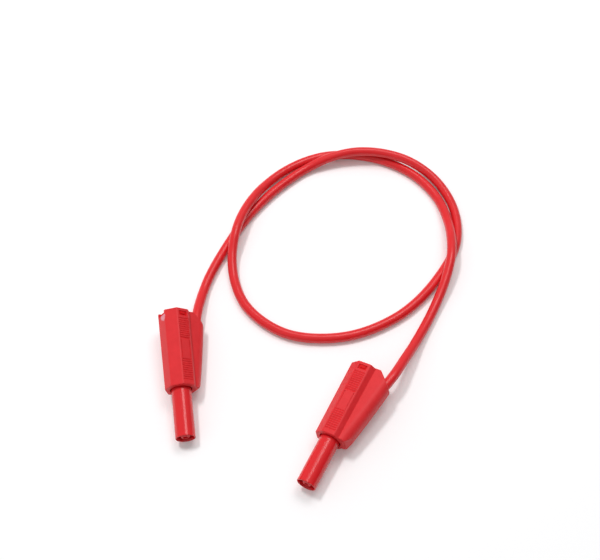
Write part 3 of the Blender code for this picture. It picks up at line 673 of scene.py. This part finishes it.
def contact_shape():
    head = PIN_HEAD_DIAMETER / 2
    neck = PIN_NECK_DIAMETER / 2
    tube = TUBE_DIAMETER / 2
    bore = STACK_BORE / 2
    tip = -PIN_REACH
    flat = head * PIN_TIP_FLAT_SHARE
    recess = PIN_RECESS_DIAMETER / 2
    nose = [(tip + head * PIN_TIP_LENGTH_SHARE * (1 - math.cos(a)), flat + (head - flat) * math.sin(a))
            for a in (math.pi / 2 * i / PIN_NOSE_STEPS for i in range(PIN_NOSE_STEPS + 1))]
    profile = [(tip + PIN_RECESS_DEPTH, 0.0), (tip + PIN_RECESS_DEPTH, recess), (tip, recess)] + nose
    profile += [(tip + PIN_HEAD_LENGTH, head), (tip + PIN_HEAD_LENGTH, neck),
                (-PIN_COLLAR_LENGTH, neck), (-PIN_COLLAR_LENGTH, head), (0.0, head),
                (tube - head, tube), (SEAT_FRONT, tube), (SEAT_FRONT, SEAT_DIAMETER / 2),
                (SEAT_REAR, SEAT_DIAMETER / 2), (SEAT_REAR, tube), (CONTACT_REAR, tube),
                (CONTACT_REAR, bore), (CONTACT_REAR - STACK_DEPTH, bore),
                (CONTACT_REAR - STACK_DEPTH - bore / 2, 0.0)]
    return turned(profile)


def cage_shape():
    """Two rings joined by bowed leaves."""
    front = -PIN_REACH + PIN_HEAD_LENGTH + SEAT_GAP
    rear = -PIN_COLLAR_LENGTH - SEAT_GAP
    ring = PIN_NECK_DIAMETER / 2 + SEAT_GAP + CAGE_WALL
    crown = CAGE_DIAMETER / 2
    bow_start = front + CAGE_RING_LENGTH
    bow_length = rear - front - 2 * CAGE_RING_LENGTH
    shares = [i / CAGE_BOW_STEPS for i in range(CAGE_BOW_STEPS + 1)]
    outer = [(front, ring)]
    outer += [(bow_start + bow_length * s, ring + (crown - ring) * math.sin(math.pi * s)) for s in shares]
    outer += [(rear, ring)]
    inner = [(y, radius - CAGE_WALL) for y, radius in reversed(outer)]
    slots = bmesh.new()
    for i in range(CAGE_LEAVES):
        turn = Matrix.Rotation(2 * math.pi * (i + 0.5) / CAGE_LEAVES, 4, "Y")
        first = len(slots.verts)
        block(slots, (ring / 2, bow_start, -CAGE_SLOT / 2),
              (crown + CUT_MARGIN, bow_start + bow_length, CAGE_SLOT / 2))
        slots.verts.ensure_lookup_table()
        bmesh.ops.transform(slots, matrix=turn, verts=slots.verts[first:])
    return carve(turned(outer + inner, SMALL_STEPS), [("DIFFERENCE", slots)])


def insert_shape():
    """Rear socket insert with its latch lugs and key tab."""
    outer = CHAMBER_DIAMETER / 2 - SEAT_GAP
    bore = TUBE_DIAMETER / 2 + SEAT_GAP
    mouth = MOUTH_DIAMETER / 2
    profile = [(INSERT_FRONT, bore), (INSERT_FRONT, outer)]
    profile += arc(INSERT_REAR - LUG_FILLET, outer - LUG_FILLET, LUG_FILLET, 90, 0)
    profile += [(INSERT_REAR, mouth + MOUTH_FLARE)]
    profile += [(INSERT_REAR - MOUTH_FLARE * math.sin(a), mouth + MOUTH_FLARE * (1 - math.sin(a)))
                for a in (math.radians(90 * i / MOUTH_FLARE_STEPS) for i in range(1, MOUTH_FLARE_STEPS + 1))]
    profile += [(PLATE_FRONT, mouth), (PLATE_FRONT, bore)]
    window_rear = BODY_LENGTH - WINDOW_FROM_REAR
    inside = (outer + bore) / 2
    top = half_flats(window_rear) - LATCH_SET_BACK
    ledges = bmesh.new()
    lugs = bmesh.new()
    for side in (-1, 1):
        low_z, high_z = sorted((side * inside, side * (top - LEDGE_DEPTH)))
        block(ledges, (-WINDOW_WIDTH / 2 + LEDGE_SEAM, window_rear - WINDOW_LENGTH + LEDGE_SEAM, low_z),
              (WINDOW_WIDTH / 2 - LEDGE_SEAM, window_rear - LEDGE_SEAM, high_z))
        low_z, high_z = sorted((side * inside, side * top))
        block(lugs, (-WINDOW_WIDTH / 2 + LATCH_GAP, window_rear - WINDOW_LENGTH + LATCH_GAP, low_z),
              (WINDOW_WIDTH / 2 - LATCH_GAP, window_rear - LEDGE_GAP, high_z), LUG_FILLET)
    tab_front = BODY_LENGTH - NOTCH_DEPTH + SEAT_GAP
    block(lugs, (-half_flats(BODY_LENGTH) + TAB_SET_BACK, tab_front, -NOTCH_WIDTH / 2 + SEAT_GAP),
          (-inside, INSERT_REAR - SEAT_GAP, NOTCH_WIDTH / 2 - SEAT_GAP), LUG_FILLET)
    return carve(turned(profile), [("UNION", ledges), ("UNION", lugs)])


def spring_shape():
    """Coil of round wire with one closed turn at each end."""
    radius = (SPRING_DIAMETER - WIRE_DIAMETER) / 2
    start = FLANGE_REAR + SEAT_GAP + WIRE_DIAMETER / 2
    end = SEAT_FRONT - SEAT_GAP - WIRE_DIAMETER / 2
    active_turns = SPRING_TURNS - 2
    pitch = (end - start - 2 * SPRING_END_PITCH) / active_turns
    count = int(SPRING_TURNS * SPRING_STEPS)
    points = []
    for i in range(count + 1):
        turn = SPRING_TURNS * i / count
        closed = min(turn, 1.0) + max(turn - (SPRING_TURNS - 1), 0.0)
        y = start + SPRING_END_PITCH * closed + pitch * (turn - closed)
        angle = 2 * math.pi * turn
        points.append((radius * math.cos(angle), y, radius * math.sin(angle)))
    wire = bent_bar("spring_wire", points, WIRE_DIAMETER, WIRE_RESOLUTION)
    mesh = bpy.data.meshes.new_from_object(wire)
    bpy.data.objects.remove(wire)
    bm = bmesh.new()
    bm.from_mesh(mesh)
    return bm


# Turning shapes into pieces

def carve(bm, steps):
    """Joins or cuts a shape with others, each given as an operation and its shape."""
    body = loose_object("carved", bm)
    tools = []
    for operation, shape in steps:
        tool = loose_object("tool", shape)
        modifier = body.modifiers.new(operation, "BOOLEAN")
        modifier.operation = operation
        modifier.solver = "EXACT"
        modifier.object = tool
        tools.append(tool)
    bpy.context.view_layer.update()
    mesh = bpy.data.meshes.new_from_object(body.evaluated_get(bpy.context.evaluated_depsgraph_get()))
    for spare in [body] + tools:
        bpy.data.objects.remove(spare)
    result = bmesh.new()
    result.from_mesh(mesh)
    bmesh.ops.remove_doubles(result, verts=result.verts[:], dist=MERGE_DISTANCE)
    bmesh.ops.dissolve_degenerate(result, dist=MERGE_DISTANCE, edges=result.edges[:])
    return result


def loose_object(name, bm):
    bmesh.ops.recalc_face_normals(bm, faces=bm.faces[:])
    mesh = bpy.data.meshes.new(name)
    bm.to_mesh(mesh)
    bm.free()
    obj = bpy.data.objects.new(name, mesh)
    bpy.context.scene.collection.objects.link(obj)
    return obj


def bent_bar(name, points, diameter, resolution):
    """Round bar that follows a list of points."""
    curve = bpy.data.curves.new(name, "CURVE")
    curve.dimensions = "3D"
    curve.bevel_depth = diameter / 2
    curve.bevel_resolution = resolution
    curve.use_fill_caps = True
    spline = curve.splines.new("POLY")
    spline.points.add(len(points) - 1)
    for target, point in zip(spline.points, points):
        target.co = (*point, 1.0)
    bar = bpy.data.objects.new(name, curve)
    bpy.context.scene.collection.objects.link(bar)
    return bar


def note_station(mesh):
    """Stores each point's place along the plug axis, for finishes that run round it."""
    attribute = mesh.attributes.new("along", "FLOAT", "POINT")
    attribute.data.foreach_set("value", np.array([vert.co.y for vert in mesh.vertices], np.float32))


def finish_piece(name, bm, lie, body, node, finish):
    """Lays a shape where its plug is, gives it its finish and lets it stand for its node."""
    piece = loose_object(name, bm)
    note_station(piece.data)
    piece.data.transform(lie)
    piece.data.shade_smooth()
    piece.data.set_sharp_from_angle(angle=SHARP_ANGLE)
    smoother = piece.modifiers.new("weighted_normals", "WEIGHTED_NORMAL")
    smoother.keep_sharp = True
    piece.data.materials.append(finish)
    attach(piece, body)
    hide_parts(node)


# Where the plugs lie

def node_points(node):
    points = np.array([vert.co for vert in frame["nodes"][node].data.vertices], float)
    return np.unique(np.round(points, POINT_DIGITS), axis=0)


def plug_lie(side):
    """Matrix from a plug's own axes to the frame, read from its slide joint and its nodes."""
    joint = next(j for j in frame["joints"] if j["child"] == side + "_sleeve")
    along = np.array(joint["axis"], float)
    along /= np.linalg.norm(along)
    middle = node_points(side + "_sleeve").mean(axis=0)
    hump_way = node_points(side + "_crimp_lug").mean(axis=0) - middle
    hump_way -= along * hump_way.dot(along)
    hump_way /= np.linalg.norm(hump_way)
    front = ((node_points(side + "_housing") - middle) @ along).min()
    lie = Matrix.Identity(4)
    lie.col[0].xyz = hump_way
    lie.col[1].xyz = along
    lie.col[2].xyz = np.cross(hump_way, along)
    lie.col[3].xyz = middle + along * front
    return lie


# Cable

def smooth_through(points, count):
    """Even points along a smooth curve through the given ones, kept from sinking into the table."""
    points = np.array(points, dtype=float)
    knots = np.concatenate([[0.0], np.cumsum(np.linalg.norm(np.diff(points, axis=0), axis=1))])
    slopes = np.gradient(points, knots, axis=0)
    dense = []
    for i in range(len(points) - 1):
        span = knots[i + 1] - knots[i]
        for t in np.linspace(0, 1, CURVE_SAMPLES, endpoint=False):
            dense.append((2 * t**3 - 3 * t**2 + 1) * points[i] + (t**3 - 2 * t**2 + t) * span * slopes[i]
                         + (3 * t**2 - 2 * t**3) * points[i + 1] + (t**3 - t**2) * span * slopes[i + 1])
    dense.append(points[-1])
    dense = np.array(dense)
    dense[:, 2] = np.maximum(dense[:, 2], CABLE_DIAMETER / 2)
    along = np.concatenate([[0.0], np.cumsum(np.linalg.norm(np.diff(dense, axis=0), axis=1))])
    places = np.linspace(0, along[-1], count)
    return np.stack([np.interp(places, along, dense[:, k]) for k in range(3)], axis=1)


def cable_end_points(lie):
    """Jacket end, exit and a straight lead-out of the cable at one plug, from inside to outside."""
    stations = (JACKET_END, cable_exit_y(), cable_exit_y() + CABLE_LEAD_OUT)
    return [tuple(lie @ cable_line(y)) for y in stations]


def make_cable(lies, finish):
    left, right = cable_end_points(lies["left"]), cable_end_points(lies["right"])
    points = smooth_through(left + ROUTE + right[::-1], CABLE_POINTS)
    cable = bent_bar("silicone_cable", [tuple(point) for point in points], CABLE_DIAMETER, CABLE_RESOLUTION)
    cable.data.materials.append(finish)
    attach(cable, "lead")
    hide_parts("cable")


# Studio

def make_camera():
    data = bpy.data.cameras.new("camera")
    data.lens = CAMERA_LENS
    data.sensor_width = CAMERA_SENSOR
    data.sensor_fit = "HORIZONTAL"
    data.clip_start = CAMERA_CLIP_START
    camera = bpy.data.objects.new("camera", data)
    bpy.context.scene.collection.objects.link(camera)
    rise = math.radians(CAMERA_ELEVATION)
    back = Vector((0.0, -math.cos(rise), math.sin(rise)))
    camera.location = Vector(LOOK_AT) + back * CAMERA_DISTANCE
    camera.rotation_euler = (math.radians(90 - CAMERA_ELEVATION), 0.0, 0.0)
    bpy.context.scene.camera = camera


def make_floor():
    """Plain pale floor that stays near white to the camera and keeps the soft shadow."""
    bm = bmesh.new()
    bmesh.ops.create_grid(bm, x_segments=1, y_segments=1, size=FLOOR_SIZE)
    floor = loose_object("floor", bm)
    finish = Finish("floor_paper")
    colour = finish.blend(finish.noise(*FLOOR_CLOUD), *FLOOR_SHADES)
    lift = finish.blend(finish.seen_ray(), BLACK, FLOOR_LIFT)
    finish.feed(finish.shader.inputs["Emission Color"], lift)
    finish.feed(finish.shader.inputs["Emission Strength"], 1.0)
    floor.data.materials.append(finish.set(base_color=colour, roughness=FLOOR_ROUGHNESS))


def make_light(name, azimuth, elevation, sizes, power):
    """Rectangular panel that faces the lead, its second side along the frame's Y."""
    data = bpy.data.lights.new(name, "AREA")
    data.shape = "RECTANGLE"
    data.size, data.size_y = sizes
    data.energy = power
    light = bpy.data.objects.new(name, data)
    bpy.context.scene.collection.objects.link(light)
    turn, rise = math.radians(azimuth), math.radians(elevation)
    way = Vector((math.cos(turn) * math.cos(rise), math.sin(turn) * math.cos(rise), math.sin(rise)))
    across = Vector((0.0, 1.0, 0.0)).cross(way).normalized()
    light.rotation_euler = Matrix((across, way.cross(across), way)).transposed().to_euler()
    light.location = Vector(LOOK_AT) + way * PANEL_DISTANCE
    return light


def make_world():
    """Even surroundings that dim softly away from the bright side of the room."""
    world = bpy.data.worlds.new("studio")
    world.use_nodes = True
    tree = world.node_tree
    way = tree.nodes.new("ShaderNodeTexCoord").outputs["Generated"]
    facing = tree.nodes.new("ShaderNodeVectorMath")
    facing.operation = "DOT_PRODUCT"
    facing.inputs[1].default_value = SKY_WAY
    tree.links.new(way, facing.inputs[0])
    level = tree.nodes.new("ShaderNodeMapRange")
    facings = {"From Min": SKY_DIM_FACING, "From Max": SKY_BRIGHT_FACING}
    levels = {"To Min": SKY_DIM_SIDE, "To Max": SKY_BRIGHT_SIDE}
    for socket, value in {**facings, **levels}.items():
        level.inputs[socket].default_value = value
    tree.links.new(facing.outputs["Value"], level.inputs["Value"])
    background = tree.nodes["Background"]
    background.inputs["Color"].default_value = WHITE
    tree.links.new(level.outputs["Result"], background.inputs["Strength"])
    bpy.context.scene.world = world


def make_studio():
    bpy.context.scene.view_settings.view_transform = "Standard"
    make_camera()
    make_floor()
    key = make_light("key_panel", **KEY)
    key.visible_glossy = False
    make_light("top_panel", **TOP)
    make_light("strip_panel", **STRIP)
    make_world()


def make_pieces():
    sleeve = sleeve_finish()
    insert = insert_finish()
    nickel = metal_finish("nickel_plate", *NICKEL, capped=True)
    bronze = metal_finish("cage_bronze_sheet", *BRONZE)
    steel = metal_finish("spring_wire_steel", *STEEL)
    copper = metal_finish("bare_copper", *COPPER)
    lies = {}
    for side in ("left", "right"):
        lie = plug_lie(side)
        lies[side] = lie
        # Only the left plug gets the painted highlight patch on its back face
        highlight_place = tuple(lie @ Vector(HIGHLIGHT_PATCH_PLACE)) if side == "left" else None
        housing = housing_finish(side + "_housing_plastic", highlight_place)
        body = side + "_sleeve"
        makes = [
            ("grip_housing", housing_shape, "lead", "_housing", "housing_red", housing),
            ("rear_insert", insert_shape, "lead", "_socket_insert", "housing_red", insert),
            ("safety_sleeve", sleeve_shape, body, "_sleeve", "sleeve_red", sleeve),
            ("turned_contact", contact_shape, "lead", "_contact", "nickel", nickel),
            ("leaf_cage", cage_shape, "lead", "_pin_cage", "cage_bronze", bronze),
            ("coil_spring", spring_shape, "lead", "_sleeve_spring", "spring_steel", steel),
        ]
        for name, shape, carrier, node, slot, finish in makes:
            finish_piece(side + "_" + name, shape(), lie, carrier, side + node, finish)
        frame["nodes"][side + "_crimp_lug"].data.materials[0] = nickel
        frame["nodes"][side + "_conductor"].data.materials[0] = copper
    make_cable(lies, cable_finish())


make_studio()
make_pieces()
